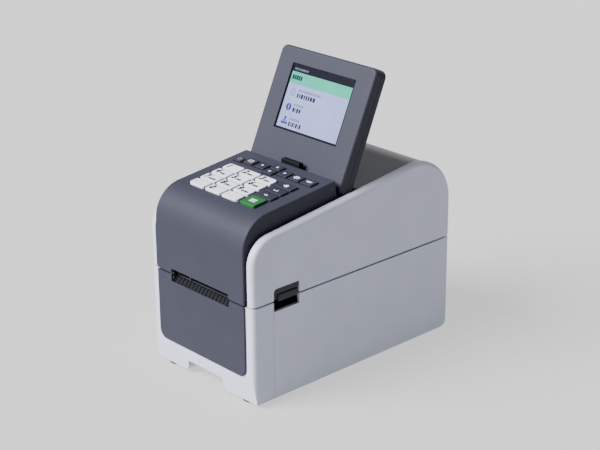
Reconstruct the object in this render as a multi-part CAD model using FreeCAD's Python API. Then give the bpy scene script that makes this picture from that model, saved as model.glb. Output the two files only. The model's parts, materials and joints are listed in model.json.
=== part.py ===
"""Desktop label printer with a numeric keypad and a tilting display, as separate sub-parts.

Frame: millimetres, +X to the right, +Y to the back, +Z up, origin on the floor under the middle of
the body. The printer rests on four rubber feet, its front panel faces -Y.
"""
import FreeCAD, Part
import math
import os

# ---- overall size -----------------------------------------------------------------------------
HALF_WIDTH = 62.2          # light body
LIGHT_INNER_X = 55.8       # inner face of the light side walls, beside the dark parts
DARK_HALF = 53.4           # dark front and keypad deck
PANEL_HALF = 54.8          # rear top panel
FOOT_HEIGHT = 2.8          # underside of the body above the floor
FLOOR_Z = FOOT_HEIGHT + 2.5    # inner floor of the base
FRONT_DARK_Y = -110.4      # face of the dark front panels
FRONT_LIGHT_Y = -108.9     # face of the light frame round them
REAR_Y = 110.4
SEAM_Z = 84.5              # top edge of the base
COVER_Z = 86.0             # bottom edge of the cover
SEAM_SHADOW = 2.5          # the light wall behind the dark front panel stops this far below the seam
WALL = 2.7                 # light walls
DARK_WALL = 2.4            # dark walls
CORNER_R = 3.7             # outer vertical corners and the soft rim of the side walls
BEZEL_REAR_Y = -88.3       # joint between the front bezel and the base case
CASE_FRONT_Y = -88.0
GAP = 0.4                  # air between parts that move past each other
PIVOT_CLEARANCE = 0.05     # radial play of every running fit
SEAT = 0.1                 # how far a rib or post runs into the wall that it joins
REACH = 1.0                # how far a cutting tool runs past the face that it opens

# ---- base -------------------------------------------------------------------------------------
REAR_SLOT_X = 33.0         # half width of the fan-fold slot in the rear wall
REAR_SLOT_Z = (66.0, 72.5)
NOTCH_HALF = (25.0, 21.5)  # carry notch under the front edge, at the bottom and at the top
NOTCH_FLARE_Z = 7.0        # the notch is wider below this height
NOTCH_TOP_Z = 12.6
NOTCH_R = 2.5
HOOD = (27.0, 14.8)        # half width and height of the light hood inside that notch
CURVE_Z = 22.0             # the light frame's front face leans back below this height
CURVE_BACK = 2.6
CURVE_R = 60.0
LOWER_PANEL_Z = 24.2
LOWER_PANEL_R = 8.0
SLOT_X = (-35.2, 35.8)     # label exit slot
SLOT_Z = (79.2, 89.8)
RIB_COUNT = 17             # ribs on the exit guide
TEAR_BAR_X = (-33.4, 33.2)
FEET = [(-46.0, -98.0), (46.0, -98.0), (-44.0, 72.0), (44.0, 72.0)]
FOOT_R = 7.0
SCREWS = [(-49.0, -66.0), (49.0, -66.0), (-49.0, 88.0), (49.0, 88.0)]
SCREW_R = 1.4
SCREW_HEAD_R = 3.0
POST_R = 4.0
BOARD_Z = (7.1, 8.7)       # main circuit board
POWER_INLET = (30.0, 42.0, 9.0, 20.5)      # each socket is x0, x1, z0, z1
USB_DEVICE = (8.0, 20.4, 9.0, 20.0)
LAN = (-14.0, 2.0, 9.0, 22.5)
USB_HOST = (-36.0, -22.5, 9.0, 15.0)
SOCKETS = [POWER_INLET, USB_DEVICE, LAN, USB_HOST]
SOCKET_REAR_Y = REAR_Y - 0.4

# ---- media bay --------------------------------------------------------------------------------
ROLL_AXIS = (32.0, 83.0)   # (y, z)
CRADLE_R = 65.0
CRADLE_WALL = 2.0
BAY_HALF = 52.3            # inner face of the side cheeks
CHEEK = 1.5
DECK_TOP_Z = 82.9          # inner deck of the base, beside and in front of the bay
DECK_EDGE_X = HALF_WIDTH - WALL - 0.4
BAY_Y = (-85.4, 102.0)
GUIDE_X = 31.25            # inner face of each media guide, fully open
GUIDE_THICK = 2.5
GUIDE_CHEEK_R = 30.0
GUIDE_HALF_DEPTH = 14.0
LEG_HALF_DEPTH = 5.8
RACK_Z = (9.5, 13.5)
RACK_START_X = -10.0
RACK_PITCH = 3.1
RACK_TEETH = 13
GUIDE_PINION_R = 6.0
GUIDE_PINION_TEETH = 12
GUIDE_STUD_R = 1.6

# ---- latches, right side ----------------------------------------------------------------------
LATCH_Y = (-87.7, -61.3)
LATCH_INNER_X = 50.3       # back of the finger pocket
POCKET_Z = 76.7            # bottom of the finger pocket
LATCH_TOP_Z = 95.5
LATCH_PIN = (57.3, 93.3)   # latch hinge (x, z)
LATCH_PIN_R = 1.2
LATCH_BACK_X = HALF_WIDTH - 3.8    # inner face of the latch plate
TAIL_Y = (-57.6, -51.4)    # the latch's inner arm
HOOK_Z = 77.4              # underside of the latch hook

# ---- print mechanism --------------------------------------------------------------------------
PLATEN_AXIS = (-95.0, 81.0)    # (y, z)
PLATEN_R = 6.5
PLATEN_HALF = 31.0
SHAFT_R = 3.0
BUSH_R = 4.6
FRAME_X = 40.0             # inner face of each roller frame plate
FRAME_THICK = 1.5
FRAME_Y = (-103.5, -86.0)
GEAR_X = (-46.1, -42.5)
GEAR_MODULE = 0.75
PLATEN_TEETH = 24
IDLER_TEETH = 24
PINION_TEETH = 10
MESH_GAP = 0.3             # tooth tips, hooks and the print head stop this far short of each other
IDLER_ANGLE = -70.0        # direction from the platen to the idler, in degrees above +Y
MOTOR_ANGLE = -60.0
STUD_R = 1.5
MOTOR_HALF = 17.5
MOTOR_END_X = -16.0
MOTOR_SHAFT_R = 2.0
HEAD_Z = (89.0, 93.0)      # aluminium block of the print head
HEAD_TOP_Z = 104.0         # underside of the rib that carries the head
FIN_Y = (-101.0, -98.8, -88.9, -85.6)
SPRING_X = 16.0
SPRING_Y = -93.2
COIL_R = 3.0
WIRE_R = 0.7
COIL_PITCH = 1.45
COILS = 7

# ---- cover ------------------------------------------------------------------------------------
RIM_SLOPE = math.radians(7.0)
RIM_REF = (-51.0, 144.3)   # a point on the sloping top edge of the light side walls (y, z)
RIM_FRONT_R = 22.0
RIM_REAR_R = 40.0
SIDE_WALL_STEP_Z = 97.0    # the side walls are thicker above this height
DECK_SLOPE = math.radians(6.4)
DECK_REF = (-53.3, 158.4)  # a point on the keypad deck (y, z), also the zero of the key layout
DECK_FRONT_R = 27.0
DECK_REAR_Y = -14.1        # back edge of the deck, in front of the display
DECK_RIM_R = 1.4
WELL_Z = 147.0             # floor of the well under the display
WELL_FRONT_Y = -13.2
WELL_REAR_Y = (5.6, 7.4)   # rear wall of the well, at the floor and at the top
WELL_R = 7.5
PANEL_DROP = 0.9           # rear top panel below the rim of the side walls
PANEL_FRONT_Y = 9.0
PANEL_REAR_Z = 112.0       # lower edge of the rear top panel
COVER_AXIS = (REAR_Y - 4.5, COVER_Z + 6.1)     # cover hinge (y, z)
COVER_ARM_X = (36.0, 44.0)     # base hinge arm on the right, mirrored on the left
COVER_PIN_R = 1.25
KNUCKLE_WIDTH = 4.0

# ---- display ----------------------------------------------------------------------------------
DISPLAY_AXIS = (-2.5, 155.2)   # display hinge (y, z)
DISPLAY_TILT = math.radians(65.5)
DISPLAY_HALF = 55.1
DISPLAY_TOP = 95.0         # display height above its hinge, along its face
DISPLAY_TOP_R = 6.0
FACE_D = -7.65             # display face in front of the hinge
BACK_D = (7.2, 5.6)        # display back behind the hinge, at the bottom and at the top
DISPLAY_END_R = 7.5        # rounded lower end
FACE_RIM_R = 2.4
SHELL_SPLIT = 0.15         # half of the joint line between the display's two shells
SCREEN_HALF = 36.7
SCREEN_U = (27.1, 81.9)    # window in the display face, from the hinge along the face
CAVITY_HALF = 44.5
CAVITY_U = (21.5, 88.5)
DISPLAY_PIN_R = 2.0
DISPLAY_PIN_HALF = 32.0
KNUCKLE_X = (-9.0, 12.0)   # black hinge block in the middle of the display's lower edge
BARREL_R = 8.0
NOTCH_BARREL_R = 8.6
BAR_Y = (-14.9, -10.2)     # the block's visible bar at the deck's back edge
BAR_TOP_Z = 166.8

# ---- keypad, in deck axes (x, s up the slope) -------------------------------------------------
KEY_GAP = 2.2              # between neighbouring keys of the number block
KEY_PROUD = 1.5
GREEN_PROUD = 2.3
KEY_BELOW = 3.0
KEY_CLEARANCE = 0.35
KEY_CORNER_R = 1.5
BLOCK_CORNER_R = 3.2       # outer corners of the number block
KEY_EDGE_R = 0.5
NUMBER_X = (-40.6, -20.7, -0.8, 19.1)
NUMBER_S = (12.2, 0.6, -11.0, -22.6, -34.2)
SIDE_X = (20.9, 40.4)
PRINT_X = (22.7, 39.0)     # the green key is narrower than the keys behind it
SIDE_KEYS = (("select", 7.9, 8.8), ("ok", -2.35, 8.8), ("back", -12.7, 8.8), ("print", -26.3, 14.0))
TOP_ROW = (("power", -40.2, 9.6, 21.4, 6.6), ("menu", -28.6, 11.0, 23.6, 9.0),
           ("left", -14.8, 11.6, 23.6, 9.0), ("up", -1.3, 11.6, 28.0, 7.6),
           ("down", -1.3, 11.6, 19.2, 7.6), ("right", 12.3, 11.6, 23.6, 9.0),
           ("link", 26.1, 11.8, 23.6, 9.0), ("feed", 40.1, 12.6, 23.6, 9.0))
BLOCK_CORNERS = {"key_1": (-1, 1), "key_3": (1, 1), "key_dash": (-1, -1), "key_dot": (1, -1)}
KEY_BOARD_DEPTH = (-7.6, -6.0)

V = FreeCAD.Vector
X_DIR = V(1, 0, 0)
Y_DIR = V(0, 1, 0)
FAR = 200.0                # past every face of the printer


# ---- helpers ----------------------------------------------------------------------------------
def box(x0, x1, y0, y1, z0, z1):
    return Part.makeBox(x1 - x0, y1 - y0, z1 - z0, V(x0, y0, z0))


def rod_x(x0, x1, centre, radius):
    """A cylinder along X, with its centre line at (y, z)."""
    return Part.makeCylinder(radius, x1 - x0, V(x0, centre[0], centre[1]), X_DIR)


def rod_y(y0, y1, centre, radius):
    """A cylinder along Y, with its centre line at (x, z)."""
    return Part.makeCylinder(radius, y1 - y0, V(centre[0], y0, centre[1]), Y_DIR)


def rod_z(x, y, z0, z1, radius):
    return Part.makeCylinder(radius, z1 - z0, V(x, y, z0))


def tube_x(x0, x1, centre, outer, inner):
    return rod_x(x0, x1, centre, outer).cut(rod_x(x0 - REACH, x1 + REACH, centre, inner))


def mirrored(shape):
    return shape.mirror(V(0, 0, 0), X_DIR)


def both_sides(shape):
    return [shape, mirrored(shape)]


def fuse(shapes):
    return shapes[0].multiFuse(shapes[1:]).removeSplitter()


def corner_arc(before, corner, after, radius):
    """The tangent points and the middle of the arc that rounds one corner of an outline."""
    to_before = (before - corner).normalize()
    to_after = (after - corner).normalize()
    half = to_before.getAngle(to_after) / 2
    reach = radius / math.tan(half)
    inward = (to_before + to_after).normalize()
    middle = corner + inward * (radius / math.sin(half) - radius)
    return corner + to_before * reach, middle, corner + to_after * reach


def profile_x(points, x0, x1):
    """Extrude a closed (y, z) outline along X. A point may carry a third value, its corner radius."""
    flat = [V(0, point[0], point[1]) for point in points]
    radii = [point[2] if len(point) > 2 else 0.0 for point in points]
    edges = []
    first = None
    cursor = None
    for i, corner in enumerate(flat):
        start = middle = end = corner
        if radii[i] > 0:
            start, middle, end = corner_arc(flat[i - 1], corner, flat[(i + 1) % len(flat)], radii[i])
        if cursor is None:
            first = start
        elif not cursor.isEqual(start, 1e-6):
            edges.append(Part.makeLine(cursor, start))
        if radii[i] > 0:
            edges.append(Part.Arc(start, middle, end).toShape())
        cursor = end
    if not cursor.isEqual(first, 1e-6):
        edges.append(Part.makeLine(cursor, first))
    solid = Part.Face(Part.Wire(edges)).extrude(V(x1 - x0, 0, 0))
    solid.translate(V(x0, 0, 0))
    return solid


def edges_where(shape, test):
    """The edges whose bounding box passes a test."""
    return [edge for edge in shape.Edges if test(edge.BoundBox)]


def along_x(bounds):
    return bounds.YLength < 1e-3 and bounds.ZLength < 1e-3


def along_y(bounds):
    return bounds.XLength < 1e-3 and bounds.ZLength < 1e-3


def upright(bounds):
    return bounds.XLength < 1e-3 and bounds.YLength < 1e-3


def on_side_face(bounds, half_width):
    return bounds.XLength < 1e-3 and abs(abs(bounds.XMin) - half_width) < 1e-3


def rim_z(y, drop=0.0):
    """Height of the sloping rim of the light side walls, or of a line below it."""
    return RIM_REF[1] + (y - RIM_REF[0]) * math.tan(RIM_SLOPE) - drop


def deck_z(y, drop=0.0):
    return DECK_REF[1] + (y - DECK_REF[0]) * math.tan(DECK_SLOPE) - drop


def deck_place(shape):
    """Move a shape from deck axes (x, s, height above the deck) onto the sloping deck."""
    moved = shape.copy()
    moved.rotate(V(0, 0, 0), X_DIR, math.degrees(DECK_SLOPE))
    moved.translate(V(0, DECK_REF[0], DECK_REF[1]))
    return moved


def display_place(shape):
    """Move a shape from display axes (x, depth behind the hinge, height along the face)."""
    moved = shape.copy()
    moved.rotate(V(0, 0, 0), X_DIR, math.degrees(DISPLAY_TILT) - 90.0)
    moved.translate(V(0, DISPLAY_AXIS[0], DISPLAY_AXIS[1]))
    return moved


def gear(teeth, module, length, bore):
    """A spur gear along Z from the origin, with plain straight-sided teeth."""
    tip = teeth * module / 2 - MESH_GAP / 2
    root = tip - 2.0 * module
    step = 2 * math.pi / teeth
    points = []
    for i in range(teeth):
        for radius, share in ((root, -0.30), (tip, -0.14), (tip, 0.14), (root, 0.30)):
            angle = (i + share) * step
            points.append(V(radius * math.cos(angle), radius * math.sin(angle), 0))
    points.append(points[0])
    solid = Part.Face(Part.makePolygon(points)).extrude(V(0, 0, length))
    if bore > 0:
        solid = solid.cut(rod_z(0, 0, -REACH, length + REACH, bore))
    return solid


def gear_x(teeth, centre, bore):
    solid = gear(teeth, GEAR_MODULE, GEAR_X[1] - GEAR_X[0], bore)
    solid.rotate(V(0, 0, 0), Y_DIR, 90)
    solid.translate(V(GEAR_X[0], centre[0], centre[1]))
    return solid


def mesh_centre(start, teeth_a, teeth_b, degrees):
    """Centre of a gear that meshes with the gear at start, in the given direction."""
    reach = (teeth_a + teeth_b) / 2 * GEAR_MODULE
    angle = math.radians(degrees)
    return (start[0] + reach * math.cos(angle), start[1] + reach * math.sin(angle))


IDLER_AXIS = mesh_centre(PLATEN_AXIS, PLATEN_TEETH, IDLER_TEETH, IDLER_ANGLE)
MOTOR_AXIS = mesh_centre(IDLER_AXIS, IDLER_TEETH, PINION_TEETH, MOTOR_ANGLE)


# ---- base -------------------------------------------------------------------------------------
def body_blank(y0, y1, corner_y):
    """A light base block whose vertical corners at one end are rounded."""
    blank = box(-HALF_WIDTH, HALF_WIDTH, y0, y1, FOOT_HEIGHT, SEAM_Z)
    corners = edges_where(blank, lambda b: upright(b) and abs(b.YMin - corner_y) < 1e-3)
    return blank.makeFillet(CORNER_R, corners)


def latch_window(z0, z1):
    """The cut for the latch through the right side wall, between two heights."""
    return box(LATCH_INNER_X, HALF_WIDTH + REACH, LATCH_Y[0], LATCH_Y[1], z0, z1)


def hinge_arm():
    y, z = COVER_AXIS
    x0, x1 = COVER_ARM_X
    foot = box(x0, x1, y - 2.6, REAR_Y - WALL + SEAT, 60, SEAM_Z)
    neck = box(x0, x1, y - 2.6, y + 1.9, SEAM_Z - 1, z)
    return fuse([foot, neck, rod_x(x0, x1, COVER_AXIS, 2.6)])


def base_case():
    rear_wall_y = REAR_Y - WALL
    front = CASE_FRONT_Y - REACH
    outline = profile_x([(CASE_FRONT_Y, FOOT_HEIGHT), (REAR_Y, FOOT_HEIGHT, 9.5), (REAR_Y, SEAM_Z, 2.0),
                         (CASE_FRONT_Y, SEAM_Z)], -HALF_WIDTH, HALF_WIDTH)
    inside = profile_x([(front, FLOOR_Z), (rear_wall_y, FLOOR_Z, 7.0), (rear_wall_y, FAR), (front, FAR)],
                       -HALF_WIDTH + WALL, HALF_WIDTH - WALL)
    shell = body_blank(CASE_FRONT_Y, REAR_Y, REAR_Y).common(outline).cut(inside)
    case = fuse([shell] + both_sides(hinge_arm()))
    wall_cut = (rear_wall_y - 3.3, REAR_Y + REACH)
    cuts = both_sides(latch_window(POCKET_Z, FAR))
    cuts += [box(-REAR_SLOT_X, REAR_SLOT_X, *wall_cut, *REAR_SLOT_Z)]
    cuts += [box(x0 - GAP, x1 + GAP, *wall_cut, z0 - GAP, z1 + GAP) for x0, x1, z0, z1 in SOCKETS]
    cuts += [rod_x(-HALF_WIDTH, HALF_WIDTH, COVER_AXIS, COVER_PIN_R)]
    cuts += [rod_z(x, y, 0, FLOOR_Z + REACH, SCREW_R + 0.3) for x, y in SCREWS]
    cuts += [rod_z(x, y, 0, FOOT_HEIGHT + 1.4, SCREW_HEAD_R + 0.3) for x, y in SCREWS]
    cuts += [box(-NOTCH_HALF[0], NOTCH_HALF[0], front, -60, 0, FOOT_HEIGHT + 1.0)]
    return case.cut(cuts)


def carry_notch():
    low, high = NOTCH_HALF
    y = FRONT_LIGHT_Y - REACH
    corners = [(-low, 0), (-low, FOOT_HEIGHT), (-high, NOTCH_FLARE_Z), (-high, NOTCH_TOP_Z),
               (high, NOTCH_TOP_Z), (high, NOTCH_FLARE_Z), (low, FOOT_HEIGHT), (low, 0), (-low, 0)]
    notch = Part.Face(Part.makePolygon([V(x, y, z) for x, z in corners])).extrude(V(0, 40, 0))
    return notch.makeFillet(NOTCH_R, edges_where(notch, lambda b: along_y(b) and b.ZMin > NOTCH_TOP_Z - 0.1))


def behind_front(y, low, half_width):
    """Everything behind the front face, which leans back near its lower edge."""
    return profile_x([(y, FAR), (y, CURVE_Z, CURVE_R), (y + CURVE_BACK, low), (0, low), (0, FAR)],
                     -half_width, half_width)


def front_bezel():
    """The light frame round the lower front panel, with a carry notch under its front edge."""
    wall_y = FRONT_LIGHT_Y + WALL
    inside = behind_front(wall_y, FLOOR_Z, HALF_WIDTH - WALL)
    hood_half, hood_z = HOOD
    hood = box(-hood_half, hood_half, wall_y - SEAT, BEZEL_REAR_Y, FOOT_HEIGHT, hood_z)
    hood = hood.makeFillet(2.0, edges_where(hood, lambda b: along_y(b) and b.ZMin > hood_z - 0.1))
    wall_cut = (FRONT_LIGHT_Y - REACH, wall_y + REACH)
    exit_cut = box(SLOT_X[0] - 1, SLOT_X[1] + 1, *wall_cut, 72.0, FAR)
    seam_cut = box(-DARK_HALF + 1, DARK_HALF - 1, *wall_cut, SEAM_Z - SEAM_SHADOW, FAR)
    blank = body_blank(FRONT_LIGHT_Y, BEZEL_REAR_Y, FRONT_LIGHT_Y)
    outside = behind_front(FRONT_LIGHT_Y, FOOT_HEIGHT, HALF_WIDTH)
    return fuse([blank.common(outside).cut(inside), hood]).cut([carry_notch(), exit_cut, seam_cut])


def lower_front_panel():
    """The dark panel under the label slot, with rounded lower corners and a soft edge."""
    panel = box(-DARK_HALF, DARK_HALF, FRONT_DARK_Y, FRONT_LIGHT_Y, LOWER_PANEL_Z, SEAM_Z)
    panel = panel.makeFillet(LOWER_PANEL_R, edges_where(panel, lambda b: along_y(b) and b.ZMax < SEAM_Z - 1))
    rim = edges_where(panel, lambda b: abs(b.YMax - FRONT_DARK_Y) < 1e-3 and b.ZMin < SEAM_Z - 1)
    panel = panel.makeFillet(1.0, rim)
    slot = profile_x([(FRONT_DARK_Y - REACH, SLOT_Z[0] + 0.5), (FRONT_LIGHT_Y + REACH, SLOT_Z[0] - 1.5),
                      (FRONT_LIGHT_Y + REACH, FAR), (FRONT_DARK_Y - REACH, FAR)], SLOT_X[0], SLOT_X[1])
    return panel.cut(slot)


def exit_guide():
    """The ribbed slope that the label leaves over."""
    x0, x1 = SLOT_X[0] + 0.2, SLOT_X[1] - 0.2
    front = FRONT_LIGHT_Y + 0.1
    slope = profile_x([(front, 73.5), (front, 77.6), (-105.4, 82.2), (-102.6, 82.2), (-102.6, 73.5)], x0, x1)
    pitch = (x1 - x0 - 3) / (RIB_COUNT - 1)
    outline = [(front, 77.0), (front, 78.6), (-105.6, 83.0), (-105.2, 82.4), (-105.2, 81.0)]
    ribs = [profile_x(outline, x0 + 1 + i * pitch, x0 + 2 + i * pitch) for i in range(RIB_COUNT)]
    return fuse([slope] + ribs)


def tear_bar():
    return profile_x([(-105.1, 82.9), (-104.9, 84.2), (-102.4, 84.0), (-102.4, 82.2), (-104.6, 82.2)],
                     TEAR_BAR_X[0], TEAR_BAR_X[1])


def rubber_feet():
    return Part.makeCompound([rod_z(x, y, 0, FOOT_HEIGHT, FOOT_R) for x, y in FEET])


def guide_stud():
    """The post that the guides' pinion turns on, with a collar above and below it."""
    y = ROLL_AXIS[0]
    pinion_space = rod_z(0, y, RACK_Z[0] - 0.5, RACK_Z[1] + 0.8, GUIDE_PINION_R + 3)
    collars = rod_z(0, y, FLOOR_Z, 20.0, GUIDE_STUD_R + 1).cut(pinion_space)
    return [collars, rod_z(0, y, FLOOR_Z, 20.0, GUIDE_STUD_R)]


def media_bay():
    """The dark inner deck of the base: roll cradle, side cheeks, screw posts and latch pockets."""
    y_roll, _ = ROLL_AXIS
    edge = DECK_EDGE_X
    deck_low = DECK_TOP_Z - CRADLE_WALL
    outer_x = BAY_HALF + CHEEK
    cradle = tube_x(-outer_x, outer_x, ROLL_AXIS, CRADLE_R + CRADLE_WALL, CRADLE_R)
    cradle = cradle.common(box(-FAR, FAR, -40, 105, 0, DECK_TOP_Z))
    front_deck = box(-edge, edge, BAY_Y[0], y_roll - CRADLE_R + SEAT, deck_low, DECK_TOP_Z)
    rear_deck = box(-edge, edge, y_roll + CRADLE_R - SEAT, BAY_Y[1], deck_low, DECK_TOP_Z)
    cheek = box(BAY_HALF, outer_x, BAY_Y[0], BAY_Y[1], 24.0, DECK_TOP_Z)
    ledge = box(BAY_HALF, edge, BAY_Y[0], BAY_Y[1], deck_low, DECK_TOP_Z)
    pocket = box(LATCH_INNER_X - CHEEK, edge, LATCH_Y[0] - CHEEK, LATCH_Y[1] + CHEEK, POCKET_Z - CHEEK,
                 DECK_TOP_Z)
    solids = [cradle, front_deck, rear_deck]
    for part in (cheek, ledge, pocket):
        solids += both_sides(part)
    solids += [rod_z(x, y, FLOOR_Z, 26.0 if y < 0 else 47.0, POST_R) for x, y in SCREWS]
    body = fuse(solids + guide_stud())
    cuts = [rod_x(-BAY_HALF, BAY_HALF, ROLL_AXIS, CRADLE_R)]
    cuts += both_sides(latch_window(POCKET_Z, FAR))
    cuts += both_sides(box(outer_x, FAR, TAIL_Y[0] - 1.3, TAIL_Y[1] + 4.0, 50, FAR))
    cuts += both_sides(box(BAY_HALF - REACH, outer_x + REACH, TAIL_Y[0] - GAP, TAIL_Y[1] + 1.5,
                           HOOK_Z - 1.0, HOOK_Z + 3.4))
    leg_room = LEG_HALF_DEPTH + 0.8
    cuts += both_sides(box(11.0, 38.0, y_roll - leg_room, y_roll + leg_room, FLOOR_Z, 30.0))
    cuts += both_sides(box(COVER_ARM_X[0] - 1, COVER_ARM_X[1] + 1, 99.5, FAR, 50, FAR))
    cuts += [rod_z(x, y, 0, 16.0, SCREW_R) for x, y in SCREWS]
    return body.cut(cuts)


def case_screws():
    solids = []
    for x, y in SCREWS:
        head = rod_z(x, y, FOOT_HEIGHT + 0.2, FOOT_HEIGHT + 1.4, SCREW_HEAD_R)
        socket = rod_z(x, y, FOOT_HEIGHT, FOOT_HEIGHT + 0.9, 1.3)
        solids.append(fuse([head.cut(socket), rod_z(x, y, FOOT_HEIGHT + 1.0, 14.0, SCREW_R)]))
    return Part.makeCompound(solids)


def main_board():
    low, top = BOARD_Z
    board = box(-38, 44, 46, 104, low, top)
    chips = [box(-20, -6, 60, 74, top, top + 2.0), box(8, 17, 64, 76, top, top + 1.4)]
    capacitor = rod_z(28, 66, top, top + 9.8, 4.0)
    posts = [rod_z(x, y, FLOOR_Z, low, 2.5) for x in (-33, 39) for y in (51, 98)]
    return fuse([board, capacitor] + chips + posts)


def socket_shell(size, depth, wall):
    x0, x1, z0, z1 = size
    shell = box(x0, x1, SOCKET_REAR_Y - depth, SOCKET_REAR_Y, z0, z1)
    return shell.cut(box(x0 + wall, x1 - wall, SOCKET_REAR_Y - depth + 2, FAR, z0 + wall, z1 - wall))


def socket_tongue(size, inset, z0, z1):
    return box(size[0] + inset, size[1] - inset, SOCKET_REAR_Y - 13, SOCKET_REAR_Y - 1.5, z0, z1)


def rear_sockets():
    usb_device = fuse([socket_shell(USB_DEVICE, 14.0, 1.2), socket_tongue(USB_DEVICE, 3.2, 12.8, 16.2)])
    usb_host = fuse([socket_shell(USB_HOST, 14.0, 0.7), socket_tongue(USB_HOST, 1.6, 12.2, 13.2)])
    return Part.makeCompound([usb_device, usb_host, socket_shell(LAN, 16.0, 1.2)])


def power_inlet():
    """The inlet for the power adapter, with two flat contacts deep inside it."""
    x0, x1, z0, z1 = POWER_INLET
    middle = (x0 + x1) / 2
    contact_y = (SOCKET_REAR_Y - 12.5, SOCKET_REAR_Y - 6.0)
    contacts = [box(x - 0.5, x + 0.5, *contact_y, z0 + 4, z1 - 4) for x in (middle - 2, middle + 2)]
    return fuse([socket_shell(POWER_INLET, 14.0, 1.5)] + contacts)


# ---- print mechanism --------------------------------------------------------------------------
def roller_frame():
    """The steel U-frame that carries the platen, with a stud for the idler gear."""
    plate = box(FRAME_X, FRAME_X + FRAME_THICK, FRAME_Y[0], FRAME_Y[1], 40.0, 86.0)
    tie = box(-FRAME_X - SEAT, FRAME_X + SEAT, FRAME_Y[0], FRAME_Y[0] + FRAME_THICK, 44.0, 68.0)
    stud = rod_x(GEAR_X[0] - 1.0, -FRAME_X - 0.5, IDLER_AXIS, STUD_R)
    collar = rod_x(GEAR_X[1] + 0.3, -FRAME_X - FRAME_THICK + SEAT, IDLER_AXIS, STUD_R + 1.5)
    frame = fuse(both_sides(plate) + [tie, stud, collar])
    return frame.cut([rod_x(-HALF_WIDTH, HALF_WIDTH, PLATEN_AXIS, BUSH_R),
                      rod_x(-HALF_WIDTH, -30, MOTOR_AXIS, MOTOR_SHAFT_R + 2.5)])


def roller_bushes():
    bush = tube_x(FRAME_X - 1.0, FRAME_X + 2.1, PLATEN_AXIS, BUSH_R, SHAFT_R + PIVOT_CLEARANCE)
    return Part.makeCompound(both_sides(bush))


def platen_roller():
    return tube_x(-PLATEN_HALF, PLATEN_HALF, PLATEN_AXIS, PLATEN_R, SHAFT_R)


def platen_shaft():
    shaft = rod_x(GEAR_X[0] - 1.0, FRAME_X + 4.5, PLATEN_AXIS, SHAFT_R)
    clip_x = FRAME_X + 2.1 + GAP
    return fuse([shaft, rod_x(clip_x, clip_x + 0.8, PLATEN_AXIS, SHAFT_R + 1.6)])


def platen_gear():
    return gear_x(PLATEN_TEETH, PLATEN_AXIS, SHAFT_R)


def idler_gear():
    return gear_x(IDLER_TEETH, IDLER_AXIS, STUD_R + PIVOT_CLEARANCE)


def motor_pinion():
    hub = rod_x(GEAR_X[0] + 0.5, -FRAME_X - 1.9, MOTOR_AXIS, 2.2)
    shaft = rod_x(-FRAME_X - 2.0, -30.0, MOTOR_AXIS, MOTOR_SHAFT_R)
    return fuse([gear_x(PINION_TEETH, MOTOR_AXIS, 0), hub, shaft])


def stepper_motor():
    y, z = MOTOR_AXIS
    x0, x1 = -FRAME_X + 0.2, MOTOR_END_X
    can = box(x0, x1, y - MOTOR_HALF, y + MOTOR_HALF, z - MOTOR_HALF, z + MOTOR_HALF)
    can = can.makeFillet(3.5, edges_where(can, along_x))
    bore = rod_x(x0 - REACH, -29.5, MOTOR_AXIS, MOTOR_SHAFT_R + PIVOT_CLEARANCE)
    foot = box(x0, x1, CASE_FRONT_Y + 3, y + 12, FLOOR_Z, z - MOTOR_HALF + SEAT)
    return fuse([can, foot]).cut(bore)


# ---- media guides -----------------------------------------------------------------------------
def guide_right():
    """A side guide for the roll, on a leg that passes the cradle to a rack underneath."""
    y, z = ROLL_AXIS
    x0, x1 = GUIDE_X, GUIDE_X + GUIDE_THICK
    depth, leg_depth = GUIDE_HALF_DEPTH, LEG_HALF_DEPTH
    low = 21.0
    cheek = rod_x(x0, x1, (y, z - 20), GUIDE_CHEEK_R)
    cheek = cheek.cut(box(0, FAR, -FAR, FAR, -FAR, low + 2.5))
    stem = box(x0, x1, y - depth, y + depth, low, z - 20)
    window = rod_x(x0 - REACH, x1 + REACH, (y, z - 12), 9.0)
    leg = box(x0, x1 + 2, y - leg_depth, y + leg_depth, RACK_Z[0], low + 1)
    wing = box(x0, x1 + 6, y - depth, y + depth, low, low + 2)
    foot = box(x0, x1 + 2, y - leg_depth, y + GUIDE_PINION_R + 3.3, RACK_Z[0], RACK_Z[1])
    rack_y = y + GUIDE_PINION_R + MESH_GAP
    rack = box(RACK_START_X, x1 + 2, rack_y + 1.4, rack_y + 3.4, RACK_Z[0], RACK_Z[1])
    starts = [RACK_START_X + RACK_PITCH * i for i in range(RACK_TEETH)]
    teeth = [box(x, x + 1.4, rack_y, rack_y + 1.5, RACK_Z[0], RACK_Z[1]) for x in starts]
    return fuse([cheek.cut(window), stem.cut(window), leg, wing, foot, rack] + teeth)


def guide_left():
    turned = guide_right()
    turned.rotate(V(0, ROLL_AXIS[0], 0), V(0, 0, 1), 180)
    return turned


def guide_pinion():
    module = 2 * GUIDE_PINION_R / GUIDE_PINION_TEETH
    solid = gear(GUIDE_PINION_TEETH, module, 3.6, GUIDE_STUD_R + PIVOT_CLEARANCE)
    solid.translate(V(0, ROLL_AXIS[0], RACK_Z[0] + 0.2))
    return solid


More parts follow.
